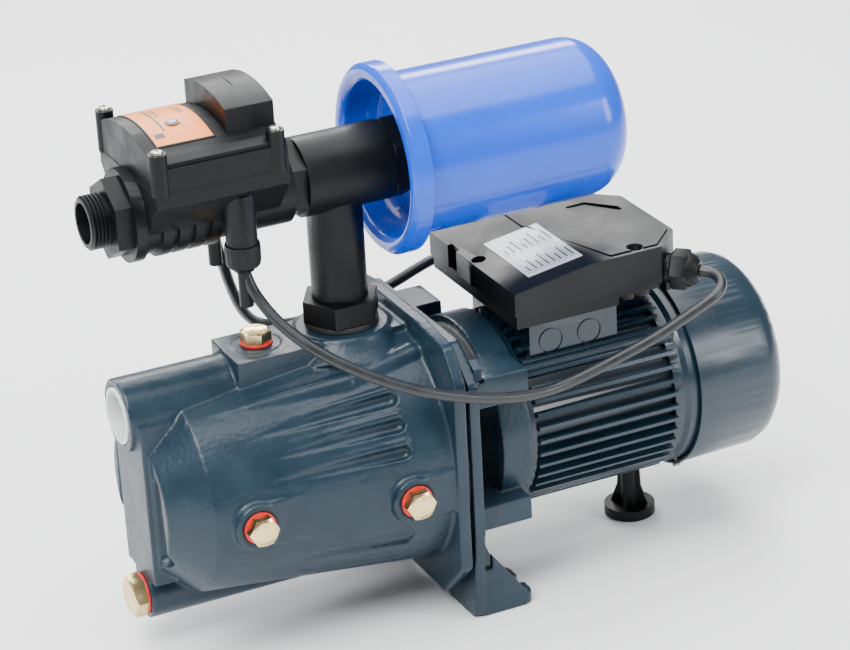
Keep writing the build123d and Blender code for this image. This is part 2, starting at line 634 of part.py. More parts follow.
def tank_membrane():
    bag = rod_x(42, -17, 87, 0, BRANCH_Z)
    bag = fillet(bag.edges(), 20)
    core = rod_x(40, -15, 85, 0, BRANCH_Z)
    core = fillet(core.edges(), 18)
    return bag - core - rod_x(16.6, -21, -9, 0, BRANCH_Z)


def tank_valve_cap():
    return rod_x(3, TANK_X1 - 9, TANK_X1, 0, BRANCH_Z) + rod_x(5.5, TANK_X1, TANK_X1 + 6, 0, BRANCH_Z)


# ---------------------------------------------------------------- flow controller
def arch(x0, x1, half, foot_z, edge_z, top_z):
    """Straight sides from foot_z to edge_z, then an arched top, along X."""
    lines = Polyline((x0, -half, edge_z), (x0, -half, foot_z), (x0, half, foot_z), (x0, half, edge_z))
    crown = ThreePointArc((x0, half, edge_z), (x0, 0, top_z), (x0, -half, edge_z))
    return extrude(make_face([lines, crown]), amount=x1 - x0, dir=(1, 0, 0))


def controller_body():
    hopper = [(-CTRL_HALF, CTRL_SEAM), (-CTRL_HALF, 304), (-27, 282), (27, 282), (CTRL_HALF, 304),
              (CTRL_HALF, CTRL_SEAM)]
    body = extrude(make_face(Polyline(*[(CTRL_X0, y, z) for y, z in hopper], close=True)),
                   amount=CTRL_X1 - CTRL_X0, dir=(1, 0, 0))
    body += rod_x(25.5, CTRL_X0 + 1, -104, 0, BRANCH_Z)
    for turn in range(4):
        x = -189.5 + 10.2 * turn
        body += rod_x(28, x, x + 6.5, 0, BRANCH_Z)
    body -= block(CTRL_X0 - 1, CTRL_X1 + 1, -50, 50, CTRL_SEAM, CTRL_SEAM + 10)
    body += rod_x(28.5, -206, CTRL_X0, 0, BRANCH_Z) + hex_x(44, -216, -206, 0, BRANCH_Z)
    body += rod_x(G1_MALE_R, CTRL_FACE, -215, 0, BRANCH_Z)
    body += hex_x(42.5, -104.5, TEE_X0, 0, BRANCH_Z) + rod_x(17.9, TEE_X0 - 1, TEE_X0 + 12, 0, BRANCH_Z)
    for x, y in CTRL_GLANDS:
        body += rod_z(9.5, 262, 300, x, y)
        body += block(x - 8, x + 8, y * 0.86 - 6, y * 0.86 + 6, 275, 300)
    body -= rod_x(CTRL_BORE_R, CTRL_FACE - 1, TEE_X0 + 13, 0, BRANCH_Z)
    body += pipe_x(CTRL_BORE_R + 1, 8, -121, -117, 0, BRANCH_Z)
    body -= block(CTRL_X0 + 5, CTRL_X1 - 5, -38, 38, CTRL_SEAM - 9, CTRL_SEAM + 1)
    for x, y in CTRL_GLANDS:
        body -= rod_z(3.7, 261, CTRL_SEAM - 8, x, y)
    for x in SCREW_X:
        for y in (-SCREW_Y, SCREW_Y):
            body -= rod_z(1.5, CTRL_SEAM - 6, CTRL_SEAM + 1, x, y)
    return body


def controller_lid():
    wall = 2.5
    body = arch(CTRL_X0, CTRL_X1, CTRL_EDGE_HALF, CTRL_SEAM, CTRL_EDGE, CTRL_TOP)
    body += block(CTRL_X0, CTRL_X1, -CTRL_HALF, CTRL_HALF, CTRL_SEAM, CTRL_SEAM + 16)
    body += arch(TURRET_X0, TURRET_X1, TURRET_HALF, 325, 350.8, 356)
    for x in SCREW_X:
        for y in (-SCREW_Y, SCREW_Y):
            body += rod_z(5.5, CTRL_SEAM, 337.5, x, y)
    body -= arch(CTRL_X0 + wall, CTRL_X1 - wall, 36, CTRL_SEAM - 1, CTRL_EDGE - wall, CTRL_TOP - wall)
    body -= arch(TURRET_X0 + wall, TURRET_X1 - wall, TURRET_HALF - wall, 325, 350.8 - wall, 356 - wall)
    for x in SCREW_X:
        for y in (-SCREW_Y, SCREW_Y):
            body -= rod_z(1.7, CTRL_SEAM - 1, 340, x, y)
    return body - rod_z(BUTTON_R + CLEAR, 320, 345, BUTTON_X, BUTTON_Y)


def controller_screws():
    screws = []
    for x in SCREW_X:
        for y in (-SCREW_Y, SCREW_Y):
            screws.append(rod_z(3.6, 337.5, 339.9, x, y) + rod_z(1.4, CTRL_SEAM - 5.5, 338, x, y))
    return group(screws)


def controller_label():
    lift = 0.4
    outer = arch(-190, -155, CTRL_EDGE_HALF, 320, CTRL_EDGE + lift, CTRL_TOP + lift)
    inner = arch(-191, -154, CTRL_EDGE_HALF, 319, CTRL_EDGE, CTRL_TOP)
    label = (outer - inner) & block(-190, -155, -31, 31, 325, 350)
    return label - rod_z(BUTTON_R + CLEAR, 320, 345, BUTTON_X, BUTTON_Y)


def restart_button():
    lens = rod_z(BUTTON_R, 331, 342.4, BUTTON_X, BUTTON_Y)
    return lens + rod_z(BUTTON_R + 1.2, 329, 331, BUTTON_X, BUTTON_Y)


def controller_board():
    board = block(-189, -127, -34, 34, 316, 317.6)
    board += block(-169, -154, -20, 0, 317, 323) + block(-144, -124, -12, 12, 317, 336)
    for y in (-33, 33):
        board += rod_z(2.5, CTRL_SEAM - 9, 316.5, -159, y)
    return board


def flow_poppet():
    return rod_x(11, -124.3, -121.2, 0, BRANCH_Z) + rod_x(2.5, -134, -123, 0, BRANCH_Z)


def controller_gland_nuts():
    nuts = []
    for x, y in CTRL_GLANDS:
        nut = rod_z(11, CTRL_GLAND_Z + 3, 268, x, y) + rod_z(8.6, CTRL_GLAND_Z, CTRL_GLAND_Z + 4, x, y)
        nut -= rod_z(9.5 + CLEAR, 262, 269, x, y)
        nuts.append(nut - rod_z(4.2, CTRL_GLAND_Z + 2, 270, x, y))
    return group(nuts)


# ---------------------------------------------------------------- cords
JUMPER_ROUTE = [
    (-144.5, -35, 251), (-142.8, -37.3, 241.5), (-139, -43.5, 232), (-134, -51.5, 223),
    (-127.5, -60, 215), (-118.5, -69.5, 206.5), (-105, -79.5, 197), (-86, -88, 186),
    (-64, -94, 175.5), (-42, -95.5, 167), (-21, -95.5, 160), (0, -94.5, 155), (20, -92, 152),
    (41, -89, 152.5), (63, -88, 157), (84, -88.5, 162.8), (104, -89, 169), (121.5, -88.8, 176),
    (136, -88.3, 181.5), (146.9, -87.4, 185.7), (152.5, -83.5, 188.8), (154.8, -77, 191.7),
    (152.9, -69.9, 193.4), (147.85, -64.85, 193.4)]

MAINS_ROUTE = [
    (-136.5, 34, 251), (-135, 35, 241), (-131, 39.5, 229.5), (-125.5, 47, 213), (-119, 56, 197),
    (-111, 66, 180.5), (-101, 76, 166), (-87, 85.5, 155), (-69, 93.5, 148.5), (-48, 99, 146),
    (-27, 99.5, 147), (-8, 96.5, 153), (8, 91, 161), (22, 87, 169), (37, 85.5, 174.5),
    (53, 87, 174.5), (68, 91.5, 168.5), (80, 98, 156.5), (87.5, 105.5, 139.5), (90.5, 112.5, 117.5),
    (90, 117.5, 93), (86.5, 119.5, 68.5), (79, 118, 47), (66, 114.5, 30), (49, 110.5, 18.5),
    (30, 108.7, 12.5), (12, 108.5, 10.5)]

COIL_X, COIL_Y, COIL_R, COIL_WIDTH = 12.0, 148.0, 36.0, 14.0     # two turns wide, two high
PLUG_X, PLUG_Z = 62.0, 18.5
LEAD_ROUTE = [
    (COIL_X, 187.5, 3.5), (26, 187.5, 3.5), (39, 187.5, 6.5), (51, 187.5, 12), (PLUG_X, 187.5, PLUG_Z)]


def cord_tube(label, route):
    """A round tube along straight runs, each corner as wide an arc as its two runs allow."""
    points = [Vector(*point) for point in route]
    radii = []
    for before, here, after in zip(points, points[1:], points[2:]):
        turn = math.radians((here - before).get_angle(after - here))
        radii.append(0.45 * min((here - before).length, (after - here).length) / math.tan(turn / 2))
    path = FilletPolyline(*points, radius=radii)
    tube = sweep(Plane(origin=path @ 0, z_dir=path % 0) * Circle(CORD_R), path=path)
    share = tube.volume / (math.pi * CORD_R ** 2 * path.length)
    print(label, "length", round(path.length), "volume share", round(share, 3))
    print("radii", [round(radius) for radius in radii])
    return tube


def jumper_cord():
    return cord_tube("jumper_cord", JUMPER_ROUTE)


def mains_cord():
    return group([cord_tube("mains_cord", MAINS_ROUTE), cord_tube("plug lead", LEAD_ROUTE)])


def mains_cord_coil():
    half = COIL_WIDTH / 2
    ring = pipe_z(COIL_R + half, COIL_R - half, 0, COIL_WIDTH, COIL_X, COIL_Y)
    ring -= cord_tube("coil entry", MAINS_ROUTE)
    return ring - cord_tube("coil exit", LEAD_ROUTE)


def mains_plug():
    """Straight two-pin plug with a tapered strain relief."""
    y = LEAD_ROUTE[-1][1]
    relief = Pos(PLUG_X + 10, y, PLUG_Z) * Rot(0, 90, 0) * Cone(4.6, 8, 20)
    body = Pos(PLUG_X + 27, y, PLUG_Z) * Rot(0, 90, 0) * Cone(9, 18, 14)
    body += rod_x(18, PLUG_X + 34, PLUG_X + 50, y, PLUG_Z)
    for side in (-9.5, 9.5):
        body -= rod_x(2.4, PLUG_X + 40, PLUG_X + 51, y + side, PLUG_Z)
    return relief + body


def plug_pins():
    y = LEAD_ROUTE[-1][1]
    return group([rod_x(2.4, PLUG_X + 40, PLUG_X + 69, y + side, PLUG_Z) for side in (-9.5, 9.5)])


# ---------------------------------------------------------------- write the parts
PARTS = {
    "pump_casing": pump_casing, "suction_insert": suction_insert, "jet_nozzle": jet_nozzle,
    "venturi_tube": venturi_tube, "diffuser": diffuser, "impeller": impeller,
    "impeller_nut": impeller_nut, "seal_plate": seal_plate, "casing_gasket": casing_gasket,
    "seal_seat": seal_seat, "seal_head": seal_head, "seal_spring": seal_spring,
    "motor_bracket": motor_bracket, "flange_bolts": flange_bolts,
    "side_plugs": lambda: group([side_plug(*place) for place in SIDE_PLUGS]),
    "plug_washers": plug_washers, "drain_plug": drain_plug, "priming_plug": priming_plug,
    "motor_frame": motor_frame, "stator_core": stator_core, "stator_windings": stator_windings,
    "rotor_core": rotor_core, "rotor_shaft": rotor_shaft,
    "bearing_outer_rings": bearing_outer_rings, "bearing_inner_rings": bearing_inner_rings,
    "bearing_balls": bearing_balls, "rear_end_shield": rear_end_shield,
    "end_shield_screws": end_shield_screws, "fan_cover": fan_cover,
    "fan_cover_screws": fan_cover_screws, "cooling_fan": cooling_fan, "rear_foot": rear_foot,
    "terminal_base": terminal_base, "terminal_cover": terminal_cover,
    "terminal_cover_screws": terminal_cover_screws, "rating_plate": rating_plate,
    "terminal_block": terminal_block, "run_capacitor": run_capacitor,
    "terminal_gland_nut": terminal_gland_nut, "outlet_nipple": outlet_nipple,
    "nipple_seal": nipple_seal, "outlet_tee": outlet_tee, "tank_nipple": tank_nipple,
    "tank_shell": tank_shell, "tank_front_plate": tank_front_plate,
    "tank_membrane": tank_membrane, "tank_valve_cap": tank_valve_cap,
    "controller_body": controller_body, "controller_lid": controller_lid,
    "controller_screws": controller_screws, "controller_label": controller_label,
    "restart_button": restart_button, "controller_board": controller_board,
    "flow_poppet": flow_poppet, "controller_gland_nuts": controller_gland_nuts,
    "jumper_cord": jumper_cord, "mains_cord": mains_cord, "mains_cord_coil": mains_cord_coil,
    "mains_plug": mains_plug, "plug_pins": plug_pins,
}

os.makedirs("parts", exist_ok=True)
for name, make in PARTS.items():
    export_step(make(), f"parts/{name}.step")
    print(name)
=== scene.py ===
import json
import math

import bmesh
import bpy
from mathutils import Matrix, Vector, noise


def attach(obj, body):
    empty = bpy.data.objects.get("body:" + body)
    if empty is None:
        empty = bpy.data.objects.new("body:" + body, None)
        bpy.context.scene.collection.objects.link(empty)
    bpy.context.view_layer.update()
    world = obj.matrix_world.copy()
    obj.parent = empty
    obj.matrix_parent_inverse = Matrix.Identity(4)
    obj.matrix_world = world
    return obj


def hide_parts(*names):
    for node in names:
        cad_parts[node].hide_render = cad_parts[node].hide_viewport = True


# Looks of a shallow well jet pump with a flow controller, a tee and a small pressure tank.
# Everything is in metres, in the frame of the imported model: +X towards the fan, +Z up.

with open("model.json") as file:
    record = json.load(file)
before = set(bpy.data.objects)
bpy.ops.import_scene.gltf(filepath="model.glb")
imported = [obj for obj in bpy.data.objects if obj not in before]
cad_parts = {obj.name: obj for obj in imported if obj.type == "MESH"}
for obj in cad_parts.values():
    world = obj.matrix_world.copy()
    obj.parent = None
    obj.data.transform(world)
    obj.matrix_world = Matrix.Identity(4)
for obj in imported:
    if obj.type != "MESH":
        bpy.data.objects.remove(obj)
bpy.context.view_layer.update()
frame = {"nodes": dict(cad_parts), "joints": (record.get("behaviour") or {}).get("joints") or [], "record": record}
NODES = frame["nodes"]
MM = 0.001
UNIT = "pump_unit"

# ---------------------------------------------------------------- places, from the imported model
SHAFT_Z = frame["joints"][0]["pos_m"][2]
SLOT_OF = {row["node"]: row["material_slot"] for row in frame["record"]["subparts"]}
BODY_OF = {node: body for body, nodes in frame["record"]["behaviour"]["bodies"].items() for node in nodes}


# ---------------------------------------------------------------- node helpers for materials
def new_material(name):
    material = bpy.data.materials.new(name)
    material.use_nodes = True
    tree = material.node_tree
    shader = tree.nodes["Principled BSDF"]
    place = tree.nodes.new("ShaderNodeTexCoord")
    return material, tree, shader, place.outputs["Object"]


def add_noise(tree, place, scale, detail=3.0, rough=0.5, stretch=(1, 1, 1)):
    """Noise whose scale is in features per metre."""
    mapping = tree.nodes.new("ShaderNodeMapping")
    mapping.inputs["Scale"].default_value = stretch
    tree.links.new(place, mapping.inputs["Vector"])
    texture = tree.nodes.new("ShaderNodeTexNoise")
    texture.inputs["Scale"].default_value = scale
    texture.inputs["Detail"].default_value = detail
    texture.inputs["Roughness"].default_value = rough
    tree.links.new(mapping.outputs["Vector"], texture.inputs["Vector"])
    return texture.outputs["Fac"]


def add_range(tree, value, low, high, from_low=0.3, from_high=0.7):
    node = tree.nodes.new("ShaderNodeMapRange")
    node.inputs["From Min"].default_value = from_low
    node.inputs["From Max"].default_value = from_high
    node.inputs["To Min"].default_value = low
    node.inputs["To Max"].default_value = high
    tree.links.new(value, node.inputs["Value"])
    return node.outputs["Result"]


def add_mix(tree, share, first, second):
    """Colour mix: first and second are colours or sockets."""
    node = tree.nodes.new("ShaderNodeMix")
    node.data_type = "RGBA"
    tree.links.new(share, node.inputs["Factor"])
    for socket, value in ((node.inputs[6], first), (node.inputs[7], second)):
        if isinstance(value, tuple):
            socket.default_value = (*value, 1)
        else:
            tree.links.new(value, socket)
    return node.outputs[2]


def add_bump(tree, height, strength, distance, before=None):
    node = tree.nodes.new("ShaderNodeBump")
    node.inputs["Strength"].default_value = strength
    node.inputs["Distance"].default_value = distance
    tree.links.new(height, node.inputs["Height"])
    if before is not None:
        tree.links.new(before, node.inputs["Normal"])
    return node.outputs["Normal"]


def finish(name, dark, light, rough, patch=60, grain=900, relief=0.00004, strength=0.5,
           metallic=0.0, coat=0.0, coat_rough=0.1, specular=0.5, spread=0.08, pits=None, stretch=(1, 1, 1)):
    """A painted, moulded or machined surface: patchy colour, uneven gloss and a fine relief."""
    material, tree, shader, place = new_material(name)
    patches = add_noise(tree, place, patch, 4.0)
    fine = add_noise(tree, place, grain, 2.0, stretch=stretch)
    tree.links.new(add_mix(tree, add_range(tree, patches, 0, 1), dark, light), shader.inputs["Base Color"])
    tree.links.new(add_range(tree, patches, rough - spread, rough + spread), shader.inputs["Roughness"])
    normal = add_bump(tree, fine, strength, relief)
    if pits is not None:
        coarse = add_noise(tree, place, pits[0], 3.0)
        normal = add_bump(tree, coarse, strength, pits[1], normal)
    tree.links.new(normal, shader.inputs["Normal"])
    shader.inputs["Metallic"].default_value = metallic
    shader.inputs["Specular IOR Level"].default_value = specular
    shader.inputs["Coat Weight"].default_value = coat
    shader.inputs["Coat Roughness"].default_value = coat_rough
    return material


def make_materials():
    table = {}
    table["casing_paint"] = finish(
        "cast_paint", (0.006, 0.019, 0.032), (0.011, 0.029, 0.044), 0.36,
        patch=45, grain=620, relief=0.00012, strength=0.55, pits=(210, 0.0003), specular=0.35,
        spread=0.05)
    table["motor_paint"] = finish(
        "motor_paint", (0.005, 0.017, 0.029), (0.008, 0.024, 0.038), 0.28,
        patch=30, grain=1400, relief=0.00003, strength=0.4, spread=0.04)
    table["tank_paint"] = finish(
        "tank_paint", (0.0, 0.062, 0.56), (0.0, 0.078, 0.66), 0.24,
        patch=18, grain=350, relief=0.00004, strength=0.12, coat=0.25, coat_rough=0.08,
        specular=0.35, spread=0.03)
    table["black_plastic"] = finish(
        "black_plastic", (0.0015, 0.0022, 0.0026), (0.003, 0.004, 0.0046), 0.44,
        patch=60, grain=1500, relief=0.00003, strength=0.3, specular=0.22)
    table["cover_plastic"] = finish(
        "cover_plastic", (0.0015, 0.0022, 0.0026), (0.003, 0.004, 0.0044), 0.38,
        patch=40, grain=1300, relief=0.00005, strength=0.4, specular=0.25)
    table["white_plastic"] = finish(
        "white_plastic", (0.62, 0.66, 0.66), (0.72, 0.75, 0.75), 0.40,
        patch=80)
    table["brass"] = finish(
        "brass", (0.66, 0.49, 0.22), (0.86, 0.68, 0.36), 0.26,
        patch=130, grain=1500, relief=0.00002, strength=0.3, metallic=1.0)
    table["zinc_steel"] = finish(
        "zinc_steel", (0.50, 0.50, 0.47), (0.66, 0.66, 0.64), 0.30,
        patch=220, metallic=1.0)
    table["stainless"] = finish(
        "stainless", (0.48, 0.48, 0.48), (0.62, 0.62, 0.62), 0.28,
        patch=150, metallic=1.0)
    table["fibre_red"] = finish(
        "fibre_red", (0.55, 0.012, 0.008), (0.70, 0.03, 0.015), 0.5,
        patch=300, grain=1800)
    table["seal_rubber"] = finish(
        "seal_rubber", (0.012, 0.012, 0.013), (0.02, 0.02, 0.021), 0.6,
        patch=200)
    table["carbon"] = finish(
        "carbon", (0.03, 0.03, 0.033), (0.05, 0.05, 0.054), 0.3,
        patch=300)
    table["cord_rubber"] = finish(
        "cord_rubber", (0.007, 0.009, 0.010), (0.012, 0.015, 0.017), 0.40,
        patch=90, grain=1600, relief=0.00003, strength=0.3)
    table["copper"] = finish(
        "copper", (0.50, 0.16, 0.06), (0.68, 0.27, 0.12), 0.35,
        patch=400, metallic=1.0)
    table["lamination"] = finish(
        "lamination", (0.22, 0.22, 0.24), (0.34, 0.34, 0.36), 0.45,
        patch=120, metallic=1.0, grain=900, stretch=(3, 0.2, 0.2))
    table["label_orange"] = finish(
        "label_orange", (0.78, 0.19, 0.015), (0.84, 0.24, 0.03), 0.45,
        patch=60)
    table["label_silver"] = finish(
        "label_silver", (0.60, 0.62, 0.63), (0.70, 0.72, 0.73), 0.38,
        patch=70, metallic=0.25)
    table["button_red"] = finish(
        "button_red", (0.30, 0.20, 0.34), (0.38, 0.26, 0.42), 0.2,
        patch=400, coat=0.6)
    table["board_green"] = finish(
        "board_green", (0.02, 0.12, 0.04), (0.03, 0.17, 0.07), 0.4,
        patch=300)
    table["ink"] = finish(
        "ink", (0.03, 0.03, 0.035), (0.05, 0.05, 0.055), 0.4,
        patch=300)
    table["cream_plastic"] = finish(
        "cream_plastic", (0.55, 0.52, 0.42), (0.64, 0.61, 0.52), 0.45,
        patch=150)
    return table


MATERIALS = make_materials()


def paint_cad_nodes():
    """Every CAD node takes the material of its slot."""
    for name, node in NODES.items():
        node.data.materials.clear()
        node.data.materials.append(MATERIALS[SLOT_OF[name]])


paint_cad_nodes()


# ---------------------------------------------------------------- mesh helpers, in millimetres
def make_object(name, bm):
    mesh = bpy.data.meshes.new(name)
    bm.to_mesh(mesh)
    bm.free()
    piece = bpy.data.objects.new(name, mesh)
    bpy.context.scene.collection.objects.link(piece)
    return piece


def finish_piece(piece, slot, body=UNIT, replaced=(), sharp=32, material=None):
    """Give a piece its material, smooth faces with sharp corners and its body, and hide the nodes it stands for.
    """
    mesh = piece.data
    mesh.materials.clear()
    mesh.materials.append(MATERIALS[material or slot])
    mesh.polygons.foreach_set("use_smooth", [True] * len(mesh.polygons))
    mesh.polygons.foreach_set("material_index", [0] * len(mesh.polygons))
    mesh.set_sharp_from_angle(angle=math.radians(sharp))
    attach(piece, body)
    if replaced:
        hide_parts(*replaced)
    return piece


def bake(piece):
    """Make the modifiers' result the piece's own mesh."""
    graph = bpy.context.evaluated_depsgraph_get()
    mesh = bpy.data.meshes.new_from_object(piece.evaluated_get(graph))
    piece.modifiers.clear()
    piece.data = mesh


def combine(piece, other, operation):
    modifier = piece.modifiers.new(operation, "BOOLEAN")
    modifier.operation = operation
    modifier.solver = "EXACT"
    modifier.object = other
    bake(piece)
    bpy.data.objects.remove(other)


def add_bevel(piece, width, segments=2, sharp=32):
    modifier = piece.modifiers.new("bevel", "BEVEL")
    modifier.width = width * MM
    modifier.segments = segments
    modifier.limit_method = "ANGLE"
    modifier.angle_limit = math.radians(sharp)
    modifier.harden_normals = True


def copy_cad(node):
    """A copy of a node's mesh with its split corners joined and its flat faces made whole."""
    bm = bmesh.new()
    bm.from_mesh(NODES[node].data)
    bmesh.ops.remove_doubles(bm, verts=bm.verts, dist=0.002 * MM)
    bmesh.ops.dissolve_limit(bm, angle_limit=math.radians(0.8), verts=bm.verts, edges=bm.edges)
    return make_object(node + "_skin", bm)


def refine(node, bevel=0.4, segments=2, sharp=32):
    """A node with rounded corners and smooth curved faces."""
    piece = copy_cad(node)
    finish_piece(piece, SLOT_OF[node], BODY_OF[node], [node], sharp)
    if bevel:
        add_bevel(piece, bevel, segments, sharp)
    return piece


def join_meshes(name, objects):
    bm = bmesh.new()
    for piece in objects:
        mesh = piece.data.copy()
        mesh.transform(piece.matrix_world)
        bm.from_mesh(mesh)
        bpy.data.objects.remove(piece)
    return make_object(name, bm)


def solid_between(sections, closed_ends=True):
    """A skin over a row of rings that all have the same number of points."""
    bm = bmesh.new()
    rings = [[bm.verts.new([MM * c for c in point]) for point in ring] for ring in sections]
    for lower, upper in zip(rings, rings[1:]):
        for i, corner in enumerate(lower):
            after = (i + 1) % len(lower)
            bm.faces.new((corner, lower[after], upper[after], upper[i]))
    if closed_ends:
        bm.faces.new(rings[0][::-1])
        bm.faces.new(rings[-1])
    bmesh.ops.recalc_face_normals(bm, faces=bm.faces)
    return make_object("solid", bm)


def ring_points(centre, axis, radius, sides, turn=0.0):
    axis = Vector(axis).normalized()
    helper = Vector((0, 0, 1)) if abs(axis.z) < 0.9 else Vector((1, 0, 0))
    across = axis.cross(helper).normalized()
    up = across.cross(axis)
    angles = [turn + 2 * math.pi * i / sides for i in range(sides)]
    return [Vector(centre) + radius * (math.cos(a) * across + math.sin(a) * up) for a in angles]


def rod(start, end, radius, end_radius=None, sides=32):
    axis = Vector(end) - Vector(start)
    return solid_between([ring_points(start, axis, radius, sides),
                          ring_points(end, axis, radius if end_radius is None else end_radius, sides)])


def lathe(base, axis, profile, sides=96):
    """Turn (height, radius) pairs about an axis; the ends are closed."""
    axis = Vector(axis).normalized()
    return solid_between([ring_points(Vector(base) + axis * height, axis, max(radius, 0.01), sides)
                          for height, radius in profile])


def tube_lathe(base, axis, profile, sides=96):
    """Turn a closed outline of (height, radius) pairs about an axis."""
    axis = Vector(axis).normalized()
    rings = [ring_points(Vector(base) + axis * height, axis, radius, sides) for height, radius in profile]
    return solid_between(rings + rings[:1], closed_ends=False)


def box_solid(low, high):
    (x0, y0, z0), (x1, y1, z1) = low, high
    return solid_between([[(x0, y0, z), (x1, y0, z), (x1, y1, z), (x0, y1, z)] for z in (z0, z1)])


def prism(outline, z0, z1):
    """An (x, y) outline between two heights; a height may be a function of x."""
    def level(z, x):
        return z(x) if callable(z) else z
    return solid_between([[(x, y, level(z, x)) for x, y in outline] for z in (z0, z1)])


def capsule(start, end, radius, end_radius=None, sides=20):
    """A rod with half-round ends."""
    last = radius if end_radius is None else end_radius
    axis = (Vector(end) - Vector(start)).normalized()
    sections = []
    for step in range(4):
        angle = math.pi / 2 * (1 - step / 4)
        sections.append(ring_points(Vector(start) - axis * radius * math.sin(angle), axis,
                                    max(radius * math.cos(angle), 0.05), sides))
    for step in range(5):
        angle = math.pi / 2 * step / 4
        sections.append(ring_points(Vector(end) + axis * last * math.sin(angle), axis,
                                    max(last * math.cos(angle), 0.05), sides))
    return solid_between(sections)


def skin_over(name, pieces, voxel, smoothing, grain=0.0):
    """One skin over pieces that overlap, softened, with a little relief as from a sand mould."""
    piece = join_meshes(name, pieces)
    remesh = piece.modifiers.new("skin", "REMESH")
    remesh.mode = "VOXEL"
    remesh.voxel_size = voxel * MM
    smooth = piece.modifiers.new("soften", "SMOOTH")
    smooth.factor = 0.5
    smooth.iterations = smoothing
    bake(piece)
    if grain:
        places = [vertex.co.copy() for vertex in piece.data.vertices]
        normals = [vertex.normal.copy() for vertex in piece.data.vertices]
        moved = []
        for place, normal in zip(places, normals):
            lift = noise.noise(place * 420) * 0.65 + noise.noise(place * 150) * 0.35
            moved.extend(place - normal * abs(lift) * grain * MM)
        piece.data.vertices.foreach_set("co", moved)
    return piece


# ---------------------------------------------------------------- pump casing and bracket
BARREL = ((-187.0, 66.0), (-36.0, 82.0))       # (x, radius) at the barrel's two ends
OUTLET_X, PRIMING_X, DRAIN_X = -70.0, -127.5, -216.5
PRIMING_SEAT, KEEL_Z, BRANCH = 187.5, 36.5, 287.0
SHAFT = 1000 * SHAFT_Z
SIDE_FLUTES = (42.5, 30.3, 17.8, -30.0, -45.0)    # degrees up from the shaft's level
SIDE_BOSSES = ((-161.5, 100.0, 71.0), (-63.0, 96.0, 82.0))


def barrel_radius(x):
    (x0, r0), (x1, r1) = BARREL
    return r0 + (r1 - r0) * (x - x0) / (x1 - x0)


def on_barrel(x, angle, side, lift=0.0):
    """A point on the barrel's side; side is -1 for the near one."""
    radius = barrel_radius(x) + lift
    turn = math.radians(angle)
    return x, side * radius * math.cos(turn), SHAFT + radius * math.sin(turn)


def make_casing():
    casing = copy_cad("pump_casing")
    extras = []
    for side in (-1, 1):
        for angle in SIDE_FLUTES:
            start = -157 if angle > 0 else -140
            front, rear = on_barrel(start, angle, side, 3.4), on_barrel(-66, angle, side, 0.2)
            flute = capsule(front, rear, 3.7, 4.6, 12)
            combine(casing, flute, "DIFFERENCE")
            extras.append(capsule(on_barrel(start + 6, angle + 4.5, side, -2.2),
                                  on_barrel(-64, angle + 4.8, side, -1.1), 2.2, 2.8))
        combine(casing, capsule((-210, side * 33, 76), (-210, side * 31, 122), 7.5, 5), "DIFFERENCE")
        extras.append(capsule(on_barrel(-186, 62, side, -5), on_barrel(-86, 57, side, -3.4), 5, 7))
        extras.append(capsule(on_barrel(-86, 57, side, -3.4), on_barrel(-40, 62, side, -4), 7, 8))
        for x, z, face in SIDE_BOSSES:
            rim = [(0, 8), (0, 17), (8, 16), (12.6, 15), (13.4, 14), (13.4, 11.6), (12, 11), (12, 8)]
            extras.append(tube_lathe((x, side * (face - 12), z), (0, side, 0), rim, 40))
    outlet = [(0, 18), (0, 41), (5, 35), (9, 31.5), (12.9, 29), (12.9, 18)]
    priming = [(0, 9), (0, 20.5), (5, 17.5), (9.9, 15), (9.9, 9)]
    extras.append(tube_lathe((OUTLET_X, 0, 174), (0, 0, 1), outlet, 64))
    extras.append(tube_lathe((PRIMING_X, 0, 176), (0, 0, 1), priming, 48))
    casing = skin_over("casing_skin", [casing] + extras, 1.1, 2, grain=0.35)
    finish_piece(casing, "casing_paint", replaced=["pump_casing"], sharp=60)


def make_bracket():
    extras = []
    for side in (-1, 1):
        extras.append(capsule((-16, side * 72, SHAFT + 50), (16, side * 62, SHAFT + 44), 4.5, 4))
        extras.append(capsule((-16, side * 70, SHAFT - 37), (16, side * 60, SHAFT - 33), 4.5, 4))
    bracket = skin_over("bracket_skin", [copy_cad("motor_bracket")] + extras, 1.0, 4, grain=0.3)
    finish_piece(bracket, "casing_paint", replaced=["motor_bracket"], sharp=60)


# ---------------------------------------------------------------- screws, plugs and glands
COVER_SCREWS = ((25.5, 0, 201), (108, -53, 209), (108, 45, 209))     # seats in the terminal cover
CONTROLLER_GLANDS = ((-144.5, -35.0), (-136.5, 34.0))


def hex_head(base, axis, flats, height, chamfer=0.12):
    """A hexagon with the corners of its outer face turned away and a shallow dish in that face."""
    axis = Vector(axis).normalized()
    corner = flats / math.sqrt(3)
    hexagon = solid_between([ring_points(Vector(base) + axis * h, axis, corner, 6) for h in (0, height)])
    drop = flats * chamfer
    outline = [(-0.5, corner + 1), (height - drop * 0.8, corner + 0.4), (height - drop * 0.25, flats * 0.5),
               (height, flats * 0.43), (height - 0.35, flats * 0.38), (height - 0.4, 0.02)]
    turned = lathe(base, axis, outline, 64)
    combine(hexagon, turned, "INTERSECT")
    return hexagon


def pan_screw(base, axis, radius, height):
    """A domed head with a cross recess."""
    axis = Vector(axis).normalized()
    head = lathe(base, axis, [(0, radius), (height * 0.35, radius), (height * 0.7, radius * 0.88),
                              (height * 0.92, radius * 0.6), (height, radius * 0.2)], 40)
    for turn in (0, math.pi / 2):
        across = ring_points((0, 0, 0), axis, 1, 4, turn)[0]
        other = axis.cross(across)
        corners = [across * (radius * 0.62 * i) + other * (radius * 0.15 * j)
                   for i, j in ((-1, -1), (1, -1), (1, 1), (-1, 1))]
        blade = solid_between([[Vector(base) + axis * h + corner for corner in corners]
                               for h in (height * 0.3, height + 1)])
        combine(head, blade, "DIFFERENCE")
    return head


